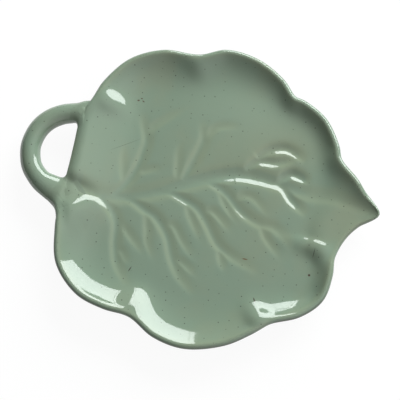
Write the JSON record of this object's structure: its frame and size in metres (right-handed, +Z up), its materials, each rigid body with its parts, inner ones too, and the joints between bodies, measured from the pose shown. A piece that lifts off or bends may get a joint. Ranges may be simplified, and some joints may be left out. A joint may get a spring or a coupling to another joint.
{
  "type": "leaf-shaped dish",
  "caption": "Shallow glazed stoneware serving dish in the form of a lobed leaf with sunken veins, a looped stem as finger handle and an oval foot ring.",
  "frame": {"origin": "under the middle of the dish's plan outline, on the surface that it stands on", "axes": "+X from the stem to the leaf's tip, +Y to the left of that, seen from above, +Z up out of the dish"},
  "size_m": [0.2298, 0.1948, 0.0204],
  "materials": {
    "celadon_glaze": "glossy",
    "bare_clay": "matte"
  },
  "bodies": {
    "root": {"leaf_body": "celadon_glaze", "stem_handle": "celadon_glaze", "upper_luting_coil": "celadon_glaze", "lower_luting_coil": "celadon_glaze", "foot_ring": "bare_clay"}
  },
  "joints": []
}
